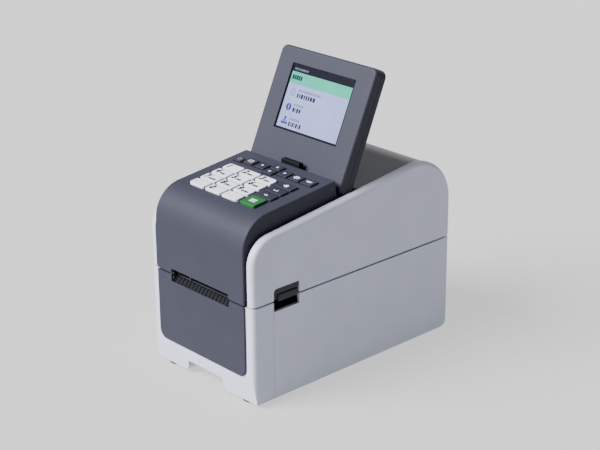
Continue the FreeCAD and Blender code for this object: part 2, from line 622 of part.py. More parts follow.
# ---- cover ------------------------------------------------------------------------------------
def cover_blank():
    """The cover's light outer form, with a soft rim along both side walls."""
    outline = [(FRONT_LIGHT_Y, COVER_Z), (FRONT_LIGHT_Y, rim_z(FRONT_LIGHT_Y), RIM_FRONT_R),
               (REAR_Y, rim_z(REAR_Y), RIM_REAR_R), (REAR_Y, COVER_Z)]
    blank = profile_x(outline, -HALF_WIDTH, HALF_WIDTH)
    blank = blank.makeFillet(CORNER_R, edges_where(blank, lambda b: on_side_face(b, HALF_WIDTH)
                                                   and b.ZMax > COVER_Z + 1))
    soft_tail = profile_x([(FRONT_LIGHT_Y, COVER_Z), (FRONT_LIGHT_Y, FAR), (REAR_Y, FAR),
                           (REAR_Y, COVER_Z, 2.0)], -HALF_WIDTH, HALF_WIDTH)
    return blank.common(soft_tail)


def cover_shell():
    """The light side walls, joined by the light lower part of the rear wall."""
    low = HALF_WIDTH - WALL
    high = LIGHT_INNER_X
    front, rear = FRONT_LIGHT_Y, REAR_Y - WALL
    cuts = [box(-low, low, front + WALL, rear, 80, SIDE_WALL_STEP_Z),
            box(-high, high, front - REACH, rear, SIDE_WALL_STEP_Z - 1, FAR),
            box(-high, high, front - REACH, front + WALL + REACH, 80, FAR),
            box(-high, high, rear - REACH, FAR, PANEL_REAR_Z - 0.5, FAR)]
    cuts += both_sides(box(COVER_ARM_X[0] - 0.5, COVER_ARM_X[1] + 0.5, 101, FAR, 80, COVER_AXIS[1] + 3.4))
    solids = [cover_blank().cut(cuts)]
    for boss in cover_knuckles() + [latch_boss(LATCH_Y[0] - 3.2), latch_boss(LATCH_Y[1] + 0.3)]:
        solids += both_sides(boss)
    window = latch_window(COVER_Z - REACH, LATCH_TOP_Z)
    corner = edges_where(window, lambda b: along_x(b) and b.YMin < LATCH_Y[0] + 1
                         and b.ZMin > LATCH_TOP_Z - 1)
    holes = both_sides(window.makeFillet(3.0, corner))
    cover_bore = COVER_PIN_R + PIVOT_CLEARANCE
    latch_bore = LATCH_PIN_R + PIVOT_CLEARANCE
    holes += both_sides(rod_x(COVER_ARM_X[0] - 6, COVER_ARM_X[1] + 6, COVER_AXIS, cover_bore))
    holes += both_sides(rod_y(LATCH_Y[0] - 4, LATCH_Y[1] + 4, LATCH_PIN, latch_bore))
    return fuse(solids).cut(holes)


def cover_knuckles():
    """The two eyes on each side of a hinge arm, on the right."""
    y, z = COVER_AXIS
    inner, outer = COVER_ARM_X[0] - 0.5, COVER_ARM_X[1] + 0.5
    knuckles = []
    for x0, x1 in ((inner - KNUCKLE_WIDTH, inner), (outer, outer + KNUCKLE_WIDTH)):
        web = box(x0, x1, y, REAR_Y - WALL + SEAT, z - 2.3, z + 5.0)
        knuckles.append(fuse([rod_x(x0, x1, COVER_AXIS, 3.1), web]))
    return knuckles


def latch_boss(y0):
    x, z = LATCH_PIN
    return box(x - 2.6, HALF_WIDTH - WALL + SEAT, y0, y0 + 2.9, z - 3.1, z + 3.5)


def hinge_pins():
    pin = rod_x(COVER_ARM_X[0] - 5.0, COVER_ARM_X[1] + 5.0, COVER_AXIS, COVER_PIN_R)
    return Part.makeCompound(both_sides(pin))


def latch_right():
    """A latch lever: a plate with a finger ledge, turning on its top pin, with a hook behind it."""
    y0, y1 = LATCH_Y[0] + GAP, LATCH_Y[1] - GAP
    x0 = LATCH_BACK_X
    upper = box(x0, x0 + 3.2, y0, y1, 90.7, LATCH_TOP_Z - GAP)
    corner = edges_where(upper, lambda b: along_x(b) and b.YMin < y0 + 1 and b.ZMin > LATCH_TOP_Z - 1)
    upper = upper.makeFillet(2.6, corner)
    plate = box(x0, x0 + 2.2, y0, y1, COVER_Z, 92.0)
    ledge = box(x0, x0 + 3.7, LATCH_Y[0] + 4.9, LATCH_Y[1] - 1.6, 84.0, 89.9)
    ledge = ledge.makeFillet(0.7, edges_where(ledge, lambda b: b.XMin > x0 + 3.6))
    hub = rod_y(y0, y1, LATCH_PIN, 2.0)
    pin = rod_y(LATCH_Y[0] - 3.0, TAIL_Y[0], LATCH_PIN, LATCH_PIN_R)
    tail = rod_y(TAIL_Y[0], TAIL_Y[1], LATCH_PIN, 1.9)
    hook_x = BAY_HALF + CHEEK + MESH_GAP
    arm = box(hook_x + 1.2, hook_x + 2.6, TAIL_Y[0], TAIL_Y[1], HOOK_Z, LATCH_PIN[1])
    nose = box(hook_x, hook_x + 1.3, TAIL_Y[0], TAIL_Y[1], HOOK_Z, HOOK_Z + 2.5)
    return fuse([upper, plate, ledge, hub, pin, tail, arm, nose])


def latch_left():
    return mirrored(latch_right())


def housing_blank():
    """The outside of the dark front, the keypad deck and the display well, as one solid."""
    front = FRONT_DARK_Y
    outer = profile_x([(front, COVER_Z), (front, deck_z(front), DECK_FRONT_R),
                       (DECK_REAR_Y, deck_z(DECK_REAR_Y), 0.8), (WELL_FRONT_Y, 157.0),
                       (WELL_FRONT_Y + 0.6, WELL_Z, WELL_R), (WELL_REAR_Y[0], WELL_Z),
                       (WELL_REAR_Y[1], rim_z(WELL_REAR_Y[1], PANEL_DROP)),
                       (PANEL_FRONT_Y, rim_z(PANEL_FRONT_Y, PANEL_DROP)), (PANEL_FRONT_Y, COVER_Z)],
                      -DARK_HALF, DARK_HALF)
    rims = edges_where(outer, lambda b: on_side_face(b, DARK_HALF) and b.YMax < DECK_REAR_Y - 0.5
                       and b.ZMax > COVER_Z + 1)
    return outer.makeFillet(DECK_RIM_R, rims)


def top_housing():
    """The dark front and keypad deck in one moulding, ending in the well for the display hinge."""
    inner_front = FRONT_DARK_Y + DARK_WALL
    well_front = WELL_FRONT_Y - DARK_WALL
    rear = PANEL_FRONT_Y + REACH
    inner_half = DARK_HALF - DARK_WALL
    inner_r = DECK_FRONT_R - DARK_WALL
    inner = profile_x([(inner_front, 70), (inner_front, deck_z(inner_front, DARK_WALL), inner_r),
                       (well_front, deck_z(well_front, DARK_WALL)), (well_front, WELL_Z - DARK_WALL, 9.0),
                       (rear, WELL_Z - DARK_WALL), (rear, 70)], -inner_half, inner_half)
    skirt = box(-FAR, FAR, inner_front, FAR, 70, 100.0)
    rib_half = LIGHT_INNER_X - PIVOT_CLEARANCE
    rib = box(-rib_half, rib_half, -99.0, -88.0, HEAD_TOP_Z, HEAD_TOP_Z + 2.5)
    slot = box(SLOT_X[0], SLOT_X[1], FRONT_DARK_Y - REACH, -100.0, 70, SLOT_Z[1])
    slot = slot.makeFillet(1.0, edges_where(slot, lambda b: along_y(b) and b.ZMin > SLOT_Z[1] - 1))
    openings = [deck_place(box(x0 - KEY_CLEARANCE, x1 + KEY_CLEARANCE, s0 - KEY_CLEARANCE,
                               s1 + KEY_CLEARANCE, -8, 5)) for x0, x1, s0, s1 in KEYS.values()]
    return fuse([housing_blank().cut([inner, skirt]), rib]).cut([slot] + openings)


def rear_top_panel():
    """The dark panel behind the display, wrapping down over the rear."""
    rear = REAR_Y - 1.5
    start = PANEL_FRONT_Y + 0.2
    inner_rear = rear - DARK_WALL
    inner_drop = PANEL_DROP + DARK_WALL
    outer_r = RIM_REAR_R - 1.5
    outer = profile_x([(start, 90), (start, rim_z(start, PANEL_DROP)),
                       (rear, rim_z(rear, PANEL_DROP), outer_r), (rear, 90)], -PANEL_HALF, PANEL_HALF)
    inner = profile_x([(0, 80), (0, rim_z(0, inner_drop)),
                       (inner_rear, rim_z(inner_rear, inner_drop), outer_r - DARK_WALL),
                       (inner_rear, 80)], -PANEL_HALF - REACH, PANEL_HALF + REACH)
    below = box(-FAR, FAR, 0, FAR, 80, PANEL_REAR_Z)
    rib = profile_x([(40, 143), (40, rim_z(40, PANEL_DROP + 1)), (42, rim_z(42, PANEL_DROP + 1)), (42, 143)],
                    -PANEL_HALF, PANEL_HALF)
    return fuse([outer.cut([inner, below]), rib])


def print_head():
    """The thermal head: a ceramic strip under a finned aluminium block, with two guide plates."""
    low, top = HEAD_Z
    strip = box(-30, 30, -98.0, -92.0, PLATEN_AXIS[1] + PLATEN_R + MESH_GAP, low + SEAT)
    block = box(-32, 32, -101.0, -84.0, low, top)
    fins = [box(-32, 32, y, y + 1.6, top - SEAT, top + 3.0) for y in FIN_Y]
    plates = both_sides(box(26, 28, -95.0, -90.0, top - SEAT, HEAD_TOP_Z))
    return fuse([strip, block] + fins + plates)


def head_springs():
    """Two compression springs, each a stack of coils round a guide post."""
    base_z = HEAD_Z[1]
    solids = []
    for x in (-SPRING_X, SPRING_X):
        heights = [base_z + 1.2 + COIL_PITCH * i for i in range(COILS)]
        post = rod_z(x, SPRING_Y, base_z, HEAD_TOP_Z, 2.2)
        coils = [Part.makeTorus(COIL_R, WIRE_R, V(x, SPRING_Y, height)) for height in heights]
        webs = [rod_z(x, SPRING_Y, height - 0.2, height + 0.2, COIL_R) for height in heights]
        solids.append(fuse([post] + webs + coils))
    return Part.makeCompound(solids)


def keypad_board():
    low, top = KEY_BOARD_DEPTH
    board = box(-49, 49, -38, 33.5, low, top)
    domes = [rod_z((x0 + x1) / 2, (s0 + s1) / 2, top - SEAT, top + 1.2, 2.5)
             for x0, x1, s0, s1 in KEYS.values()]
    return deck_place(fuse([board] + domes))


def display_knuckle():
    """The black hinge block: a barrel round the display pin, and a bar at the deck's back edge."""
    x0, x1 = KNUCKLE_X
    bar = box(x0, x1, BAR_Y[0], BAR_Y[1], WELL_Z - 1, BAR_TOP_Z)
    bar = bar.makeFillet(1.6, edges_where(bar, lambda b: b.ZMin > BAR_TOP_Z - 0.1))
    barrel = rod_x(x0, x1, DISPLAY_AXIS, BARREL_R)
    foot = box(x0, x1, BAR_Y[1] - 1, 3.0, WELL_Z - 1, 152.0)
    block = fuse([bar, barrel, foot]).cut(housing_blank())
    return block.cut(rod_x(x0 - REACH, x1 + REACH, DISPLAY_AXIS, DISPLAY_PIN_R + PIVOT_CLEARANCE))


# ---- display, in display axes (x, depth, height along the face) -------------------------------
def display_blank():
    """The whole display body, with rounded top corners and soft rims."""
    outline = [(FACE_D, 0), (FACE_D, DISPLAY_TOP), (BACK_D[1], DISPLAY_TOP), (BACK_D[0], 6.0), (-FACE_D, 0),
               (-FACE_D, FACE_D, DISPLAY_END_R), (FACE_D, FACE_D, DISPLAY_END_R)]
    blank = profile_x(outline, -DISPLAY_HALF, DISPLAY_HALF)
    top_corners = edges_where(blank, lambda b: along_y(b) and b.ZMin > DISPLAY_TOP - 1)
    blank = blank.makeFillet(DISPLAY_TOP_R, top_corners)
    face_rim = edges_where(blank, lambda b: b.YMax < FACE_D + 0.01 and b.ZMax > 5)
    return blank.makeFillet(FACE_RIM_R, face_rim)


def display_cavity(depth0, depth1):
    return box(-CAVITY_HALF, CAVITY_HALF, depth0, depth1, CAVITY_U[0], CAVITY_U[1])


def hinge_cuts():
    return [rod_x(KNUCKLE_X[0] - 0.6, KNUCKLE_X[1] + 0.6, (0, 0), NOTCH_BARREL_R),
            rod_x(-DISPLAY_PIN_HALF, DISPLAY_PIN_HALF, (0, 0), DISPLAY_PIN_R)]


def display_bezel():
    front = display_blank().common(box(-FAR, FAR, -FAR, -SHELL_SPLIT, -FAR, FAR))
    window = box(-SCREEN_HALF, SCREEN_HALF, -FAR, REACH, SCREEN_U[0], SCREEN_U[1])
    return display_place(front.cut(hinge_cuts() + [window, display_cavity(FACE_D + 2.2, REACH)]))


def display_back():
    rear = display_blank().common(box(-FAR, FAR, SHELL_SPLIT, FAR, -FAR, FAR))
    return display_place(rear.cut(hinge_cuts() + [display_cavity(-REACH, 3.0)]))


def lcd_panel():
    half, u0, u1 = SCREEN_HALF - SEAT, SCREEN_U[0] + SEAT, SCREEN_U[1] - SEAT
    glass = box(-half, half, FACE_D + 0.9, FACE_D + 2.4, u0, u1)
    carrier_half, low, high = CAVITY_HALF - 0.2, CAVITY_U[0] + 0.2, CAVITY_U[1] - 0.2
    carrier = box(-carrier_half, carrier_half, FACE_D + 2.3, 0.6, low, high)
    board = box(-38, 38, 0.5, 1.8, 30.0, 80.0)
    return display_place(fuse([glass, carrier, board]))


def display_pin():
    return rod_x(-DISPLAY_PIN_HALF, DISPLAY_PIN_HALF, DISPLAY_AXIS, DISPLAY_PIN_R)


# ---- keys -------------------------------------------------------------------------------------
def key_layout():
    """Name and place (x0, x1, s0, s1) of every key in deck axes."""
    keys = {}
    names = (("1", "2", "3"), ("4", "5", "6"), ("7", "8", "9"), ("dash", "0", "dot"))
    half = KEY_GAP / 2
    for row, row_names in enumerate(names):
        for column, name in enumerate(row_names):
            keys["key_" + name] = (NUMBER_X[column] + half, NUMBER_X[column + 1] - half,
                                   NUMBER_S[row + 1] + half, NUMBER_S[row] - half)
    for name, middle, depth in SIDE_KEYS:
        x0, x1 = PRINT_X if name == "print" else SIDE_X
        keys["key_" + name] = (x0, x1, middle - depth / 2, middle + depth / 2)
    for name, centre, width, middle, depth in TOP_ROW:
        keys["key_" + name] = (centre - width / 2, centre + width / 2, middle - depth / 2, middle + depth / 2)
    return keys


KEYS = key_layout()


def key_cap(name):
    """One key: upright edges rounded, more so at the outer corners of the number block."""
    x0, x1, s0, s1 = KEYS[name]
    proud = GREEN_PROUD if name == "key_print" else KEY_PROUD
    cap = box(x0, x1, s0, s1, -KEY_BELOW, proud)
    side_x, side_s = BLOCK_CORNERS.get(name, (0, 0))
    corner_x = x1 if side_x > 0 else x0
    corner_s = s1 if side_s > 0 else s0

    def on_block_corner(bounds):
        return side_x != 0 and abs(bounds.XMin - corner_x) < 1e-3 and abs(bounds.YMin - corner_s) < 1e-3

    radius = 3.0 if name == "key_power" else KEY_CORNER_R
    cap = cap.makeFillet(radius, edges_where(cap, lambda b: upright(b) and not on_block_corner(b)))
    if side_x:
        cap = cap.makeFillet(BLOCK_CORNER_R, edges_where(cap, lambda b: upright(b) and on_block_corner(b)))
    top = edges_where(cap, lambda b: b.ZMin > proud - 1e-3)
    return deck_place(cap.makeFillet(KEY_EDGE_R, top))


# ---- all sub-parts ----------------------------------------------------------------------------
MAKERS = (base_case, front_bezel, lower_front_panel, exit_guide, tear_bar, rubber_feet, media_bay,
          case_screws, main_board, rear_sockets, power_inlet, roller_frame, roller_bushes, platen_roller,
          platen_shaft, platen_gear, idler_gear, motor_pinion, stepper_motor, guide_right, guide_left,
          guide_pinion, cover_shell, hinge_pins, latch_right, latch_left, top_housing, rear_top_panel,
          print_head, head_springs, keypad_board, display_knuckle, display_bezel, display_back,
          lcd_panel, display_pin)


def main():
    os.makedirs("parts", exist_ok=True)
    for make in MAKERS:
        make().exportStep("parts/" + make.__name__ + ".step")
    for name in KEYS:
        key_cap(name).exportStep("parts/" + name + ".step")


main()
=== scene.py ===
"""Looks of a desktop label printer: finishes, key legends, screen, small parts, light and camera."""
import json
import math
import bmesh
import bpy
from mathutils import Matrix, Vector


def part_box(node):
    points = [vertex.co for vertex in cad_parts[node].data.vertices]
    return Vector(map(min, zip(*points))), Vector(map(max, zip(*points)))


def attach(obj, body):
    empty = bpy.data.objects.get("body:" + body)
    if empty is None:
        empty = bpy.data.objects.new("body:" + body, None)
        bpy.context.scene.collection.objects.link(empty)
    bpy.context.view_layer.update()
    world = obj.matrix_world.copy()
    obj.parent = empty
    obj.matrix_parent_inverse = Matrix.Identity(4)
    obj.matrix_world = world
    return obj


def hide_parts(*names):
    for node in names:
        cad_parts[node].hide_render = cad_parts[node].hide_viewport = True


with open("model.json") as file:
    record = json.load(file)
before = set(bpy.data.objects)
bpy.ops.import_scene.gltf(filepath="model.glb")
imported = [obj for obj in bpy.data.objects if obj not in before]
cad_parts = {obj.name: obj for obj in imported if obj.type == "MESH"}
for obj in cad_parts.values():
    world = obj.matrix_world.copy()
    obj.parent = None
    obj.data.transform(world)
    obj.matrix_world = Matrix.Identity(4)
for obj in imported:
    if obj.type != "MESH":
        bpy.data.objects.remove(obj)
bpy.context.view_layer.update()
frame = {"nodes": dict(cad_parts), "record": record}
nodes = frame["nodes"]

MM = 0.001
DECK_SLOPE = math.radians(6.4)         # the key deck rises this much towards the back
DISPLAY_TILT = math.radians(65.5)      # the display's face, from level, at rest
RIGHT = Vector((1, 0, 0))
DECK_BACK = Vector((0, math.cos(DECK_SLOPE), math.sin(DECK_SLOPE)))
DECK_UP = Vector((0, -math.sin(DECK_SLOPE), math.cos(DECK_SLOPE)))
FACE_UP = Vector((0, math.cos(DISPLAY_TILT), math.sin(DISPLAY_TILT)))
FACE_OUT = Vector((0, -math.sin(DISPLAY_TILT), math.cos(DISPLAY_TILT)))
INK = 0.05 * MM            # thickness of printed marks
LIFT = 0.01 * MM           # marks start this far below the surface that they are printed on
DIGIT_WEIGHT = 0.5 * MM    # how far a digit's outline is moved outwards
DIGIT_SHEAR = 0.18
SCREEN_LAYER = 0.03 * MM   # step in height from one layer of the screen's picture to the next
GLASS_DEPTH = 0.05 * MM    # vertices this close to the front of the glass belong to its face


# ---- places, read from the CAD ----------------------------------------------------------------
def span(node, direction):
    """Lowest and highest reach of a node along a direction."""
    reach = [vertex.co.dot(direction) for vertex in nodes[node].data.vertices]
    return min(reach), max(reach)


def middle(pair):
    return (pair[0] + pair[1]) / 2


def plane(right, up, out, x, u, height):
    """A matrix whose origin has the given reach along each of three square directions."""
    origin = right * x + up * u + out * height
    basis = Matrix((right, up, out)).transposed().to_4x4()
    return Matrix.Translation(origin) @ basis


def key_top(key):
    """The plane on top of a key, with its origin at the middle of the key."""
    x = middle(span(key, RIGHT))
    s = middle(span(key, DECK_BACK))
    return plane(RIGHT, DECK_BACK, DECK_UP, x, s, span(key, DECK_UP)[1] - LIFT)


# ---- node materials ---------------------------------------------------------------------------
EDGE_R = 0.5 * MM          # reach of the rubbed strip along an edge
EDGE_FLAT = 0.995          # cosine between the plain and the bevelled normal where rubbing starts
EDGE_WORN = 0.80           # the same cosine where rubbing is full
MIX_FIRST, MIX_SECOND, MIX_RESULT = 6, 7, 2    # the colour sockets of a Mix node


def srgb(red, green, blue):
    """A colour given on the usual 0 to 255 scale, as linear values."""
    def linear(value):
        value = value / 255
        return value / 12.92 if value <= 0.04045 else ((value + 0.055) / 1.055) ** 2.4
    return (linear(red), linear(green), linear(blue), 1.0)


def tint(colour, factor):
    return tuple(min(1.0, channel * factor) for channel in colour[:3]) + (1.0,)


class Finish:
    """A material under construction: a Principled shader and the nodes that feed it."""

    def __init__(self, name, **scalars):
        self.material = bpy.data.materials.new(name)
        self.material.use_nodes = True
        self.tree = self.material.node_tree
        self.shader = self.tree.nodes["Principled BSDF"]
        for socket, value in scalars.items():
            self.shader.inputs[socket.replace("_", " ")].default_value = value
        coordinates = self.tree.nodes.new("ShaderNodeTexCoord")
        self.where = coordinates.outputs["Object"]
        self.normal = None

    def join(self, start, node, socket):
        self.tree.links.new(start, node.inputs[socket])

    def noise(self, scale, detail=2.0, stretch=(1, 1, 1)):
        mapping = self.tree.nodes.new("ShaderNodeMapping")
        mapping.inputs["Scale"].default_value = stretch
        self.join(self.where, mapping, "Vector")
        texture = self.tree.nodes.new("ShaderNodeTexNoise")
        texture.inputs["Scale"].default_value = scale
        texture.inputs["Detail"].default_value = detail
        self.join(mapping.outputs["Vector"], texture, "Vector")
        return texture.outputs["Fac"]

    def ramp(self, fac, low, high, low_at=0.3, high_at=0.7):
        node = self.tree.nodes.new("ShaderNodeValToRGB")
        node.color_ramp.elements[0].position = low_at
        node.color_ramp.elements[0].color = low
        node.color_ramp.elements[1].position = high_at
        node.color_ramp.elements[1].color = high
        self.join(fac, node, "Fac")
        return node.outputs["Color"]

    def spread(self, fac, low, high):
        node = self.tree.nodes.new("ShaderNodeMapRange")
        node.inputs["To Min"].default_value = low
        node.inputs["To Max"].default_value = high
        self.join(fac, node, "Value")
        return node.outputs["Result"]

    def mix(self, fac, first, second):
        node = self.tree.nodes.new("ShaderNodeMix")
        node.data_type = "RGBA"
        self.join(fac, node, 0)
        self.join(first, node, MIX_FIRST)
        self.join(second, node, MIX_SECOND)
        return node.outputs[MIX_RESULT]

    def edges(self):
        """A mask that is bright along edges, from the bevelled normal."""
        bevel = self.tree.nodes.new("ShaderNodeBevel")
        bevel.samples = 4
        bevel.inputs["Radius"].default_value = EDGE_R
        flat = self.tree.nodes.new("ShaderNodeNewGeometry")
        dot = self.tree.nodes.new("ShaderNodeVectorMath")
        dot.operation = "DOT_PRODUCT"
        self.join(bevel.outputs["Normal"], dot, 0)
        self.join(flat.outputs["Normal"], dot, 1)
        worn = self.tree.nodes.new("ShaderNodeMapRange")
        worn.inputs["From Min"].default_value = EDGE_FLAT
        worn.inputs["From Max"].default_value = EDGE_WORN
        self.join(dot.outputs["Value"], worn, "Value")
        return worn.outputs["Result"]

    def bump(self, height, strength, distance):
        node = self.tree.nodes.new("ShaderNodeBump")
        node.inputs["Strength"].default_value = strength
        node.inputs["Distance"].default_value = distance
        self.join(height, node, "Height")
        if self.normal:
            self.join(self.normal, node, "Normal")
        self.normal = node.outputs["Normal"]
        self.join(self.normal, self.shader, "Normal")

    def colour(self, output):
        self.join(output, self.shader, "Base Color")

    def roughness(self, output):
        self.join(output, self.shader, "Roughness")


def moulded(name, colour, rough=(0.42, 0.56), grain=2600.0, depth=0.00003, wear=1.12, shine=0.5):
    """Moulded plastic: a fine spark-eroded grain, faint cloudiness, and paler rubbed edges."""
    finish = Finish(name, IOR=1.46, Specular_IOR_Level=shine)
    cloud = finish.noise(38.0, 4.0)
    body = finish.ramp(cloud, tint(colour, 0.965), tint(colour, 1.035))
    rubbed = finish.ramp(finish.noise(420.0, 3.0), tint(colour, 1.0), tint(colour, wear))
    finish.colour(finish.mix(finish.edges(), body, rubbed))
    finish.roughness(finish.spread(finish.noise(140.0, 3.0), *rough))
    finish.bump(finish.noise(grain, 2.0), 0.22, depth)
    return finish.material


def metal(name, colour, rough, stretch, scale=900.0):
    """Bare metal with drawn or ground lines along the direction with the smallest stretch."""
    finish = Finish(name, Metallic=1.0)
    lines = finish.noise(scale, 3.0, stretch)
    finish.colour(finish.ramp(lines, tint(colour, 0.86), tint(colour, 1.08)))
    finish.roughness(finish.spread(finish.noise(60.0, 3.0), *rough))
    finish.bump(lines, 0.18, 0.00002)
    return finish.material


def rubber(name, colour):
    finish = Finish(name, IOR=1.5)
    dust = finish.noise(900.0, 4.0)
    finish.colour(finish.ramp(dust, tint(colour, 0.8), tint(colour, 1.5), 0.35, 0.8))
    finish.roughness(finish.spread(finish.noise(200.0), 0.72, 0.9))
    finish.bump(finish.noise(2200.0, 3.0), 0.4, 0.00005)
    return finish.material


def board_mask(name):
    """Solder mask with a fine weave and darker tracks under it."""
    finish = Finish(name, IOR=1.5)
    wave = finish.tree.nodes.new("ShaderNodeTexWave")
    wave.inputs["Scale"].default_value = 160.0
    wave.inputs["Distortion"].default_value = 6.0
    wave.inputs["Detail"].default_value = 0.0
    finish.join(finish.where, wave, "Vector")
    finish.colour(finish.ramp(wave.outputs["Fac"], srgb(14, 62, 34), srgb(22, 92, 50), 0.45, 0.55))
    finish.roughness(finish.spread(finish.noise(300.0), 0.28, 0.42))
    finish.bump(wave.outputs["Fac"], 0.1, 0.00004)
    return finish.material


def lit_panel(name, colour, glow):
    """Part of the screen's picture: faintly uneven, and lit from behind."""
    finish = Finish(name, Specular_IOR_Level=0.05, Emission_Strength=glow)
    picture = finish.ramp(finish.noise(55.0, 1.0), tint(colour, 0.93), tint(colour, 1.04))
    finish.colour(picture)
    finish.join(picture, finish.shader, "Emission Color")
    finish.roughness(finish.spread(finish.noise(500.0), 0.3, 0.42))
    finish.bump(finish.noise(5200.0, 1.0), 0.05, 0.00001)
    return finish.material


def glass_cover(name, colour):
    finish = Finish(name, IOR=1.5, Coat_Weight=0.3)
    finish.colour(finish.ramp(finish.noise(90.0, 3.0), tint(colour, 0.8), tint(colour, 1.3)))
    finish.roughness(finish.spread(finish.noise(240.0, 4.0), 0.10, 0.2))
    finish.bump(finish.noise(700.0, 2.0), 0.03, 0.00001)
    return finish.material


def printed(name, colour):
    """Pad-printed ink, slightly uneven and duller than the key under it."""
    finish = Finish(name, IOR=1.45, Specular_IOR_Level=0.2)
    finish.colour(finish.ramp(finish.noise(1500.0, 3.0), tint(colour, 0.85), tint(colour, 1.1)))
    finish.roughness(finish.spread(finish.noise(700.0), 0.35, 0.5))
    finish.bump(finish.noise(4200.0, 2.0), 0.15, 0.00001)
    return finish.material


LIGHT = moulded("light_plastic", srgb(186, 191, 211), (0.40, 0.52), 2400.0)
DARK = moulded("dark_plastic", srgb(47, 48, 59), (0.44, 0.56), 2200.0, 0.00004, 1.25, 0.15)
DARK_GLOSS = moulded("dark_gloss_plastic", srgb(80, 83, 100), (0.38, 0.44), 1500.0, 0.0000005, 1.1)
BLACK = moulded("black_plastic", srgb(13, 14, 20), (0.45, 0.62), 2200.0, 0.00004, 1.5, 0.08)
LATCH = moulded("latch_plastic", srgb(38, 40, 52), (0.34, 0.46), 2400.0, 0.00002, 1.4, 0.2)
WHITE_KEY = moulded("white_key", srgb(216, 218, 232), (0.34, 0.46), 3000.0, 0.00002, 1.05)
DARK_KEY = moulded("dark_key", srgb(37, 39, 50), (0.36, 0.48), 3000.0, 0.00002, 1.3, 0.25)
GREEN_KEY = moulded("green_key", srgb(28, 86, 42), (0.34, 0.44), 3000.0, 0.00002, 1.15, 0.3)
ACETAL = moulded("white_acetal", srgb(222, 219, 208), (0.34, 0.48), 1400.0, 0.00002, 1.05)
GUIDE = moulded("guide_plastic", srgb(48, 96, 150), (0.38, 0.5), 2400.0, 0.00003, 1.2)
FOOT_RUBBER = rubber("foot_rubber", srgb(48, 48, 50))
ROLLER_RUBBER = rubber("roller_rubber", srgb(38, 38, 40))
STEEL = metal("plated_steel", srgb(196, 198, 202), (0.25, 0.4), (1, 0.05, 1))
SHAFT = metal("shaft_steel", srgb(205, 206, 208), (0.16, 0.28), (0.05, 1, 1))
SOCKET = metal("socket_steel", srgb(200, 200, 202), (0.22, 0.36), (1, 0.08, 1))
SCREW = metal("screw_steel", srgb(170, 170, 174), (0.3, 0.45), (1, 1, 0.1))
SPRING = metal("spring_steel", srgb(180, 180, 184), (0.22, 0.34), (1, 1, 0.2))
ALUMINIUM = metal("head_aluminium", srgb(205, 206, 210), (0.3, 0.42), (0.05, 1, 1))
BRASS = metal("motor_brass", srgb(212, 176, 96), (0.22, 0.36), (0.05, 1, 1))
# The tear bar's dark grey colour is painted shade of the exit slot it sits in, put into the metal
# itself
SHADED_TEAR_BAR = metal("tear_bar_metal", srgb(72, 74, 84), (0.3, 0.44), (0.05, 1, 1))
MOTOR = moulded("motor_steel", srgb(58, 58, 62), (0.3, 0.42), 900.0, 0.00002, 1.6)
BOARD = board_mask("circuit_board")
GLASS = glass_cover("screen_glass", srgb(12, 13, 24))
DARK_INK = printed("dark_ink", srgb(20, 20, 28))
PALE_INK = printed("pale_ink", srgb(228, 230, 238))
DIM_INK = printed("dim_ink", srgb(132, 134, 148))
SCREEN_PAPER = lit_panel("screen_paper", srgb(118, 126, 164), 0.35)
SCREEN_GREEN = lit_panel("screen_green", srgb(52, 138, 118), 0.35)
SCREEN_DARK = lit_panel("screen_dark", srgb(16, 17, 27), 0.1)
SCREEN_TEXT = lit_panel("screen_text", srgb(22, 25, 44), 0.05)
SCREEN_FAINT = lit_panel("screen_faint", srgb(84, 90, 130), 0.2)
SCREEN_BLUE = lit_panel("screen_blue", srgb(26, 30, 104), 0.4)
SCREEN_TICK = lit_panel("screen_tick", srgb(84, 87, 112), 0.3)
LED = lit_panel("status_led", srgb(60, 62, 74), 0.0)

FINISHES = {
    "light_plastic": LIGHT, "dark_plastic": DARK, "dark_gloss_plastic": DARK_GLOSS,
    "black_plastic": BLACK, "latch_plastic": LATCH, "tear_bar_metal": SHADED_TEAR_BAR,
    "foot_rubber": FOOT_RUBBER, "roller_rubber": ROLLER_RUBBER, "screw_steel": SCREW,
    "circuit_board": BOARD, "socket_steel": SOCKET, "plated_steel": STEEL, "white_acetal": ACETAL,
    "motor_brass": BRASS, "motor_steel": MOTOR, "shaft_steel": SHAFT, "guide_plastic": GUIDE,
    "head_aluminium": ALUMINIUM, "spring_steel": SPRING, "screen_glass": GLASS,
    "white_key": WHITE_KEY, "dark_key": DARK_KEY, "green_key": GREEN_KEY,
}


def dress_nodes():
    """Give every CAD node the finish of its material slot."""
    for subpart in frame["record"]["subparts"]:
        thing = nodes[subpart["node"]]
        finish = FINISHES[subpart["material_slot"]]
        if not thing.material_slots:
            thing.data.materials.append(finish)
        for slot in thing.material_slots:
            slot.material = finish


dress_nodes()


# ---- building flat marks and small pieces -----------------------------------------------------
def rectangle(x0, x1, y0, y1):
    return [(x0, y0), (x1, y0), (x1, y1), (x0, y1)]


def disc(x, y, radius, steps=28):
    turn = 2 * math.pi / steps
    return [(x + radius * math.cos(i * turn), y + radius * math.sin(i * turn)) for i in range(steps)]


def arc_band(x, y, radius, width, start, end, steps=20):
    """Part of a ring, between two angles in degrees."""
    angles = [math.radians(start + (end - start) * i / steps) for i in range(steps + 1)]
    large, small = radius + width / 2, radius - width / 2
    outer = [(x + large * math.cos(angle), y + large * math.sin(angle)) for angle in angles]
    inner = [(x + small * math.cos(angle), y + small * math.sin(angle)) for angle in angles]
    return outer + inner[::-1]


def rounded(x0, x1, y0, y1, radius, steps=6):
    points = []
    for x, y, start in ((x1 - radius, y1 - radius, 0), (x0 + radius, y1 - radius, 90),
                        (x0 + radius, y0 + radius, 180), (x1 - radius, y0 + radius, 270)):
        for i in range(steps + 1):
            angle = math.radians(start + 90 * i / steps)
            points.append((x + radius * math.cos(angle), y + radius * math.sin(angle)))
    return points


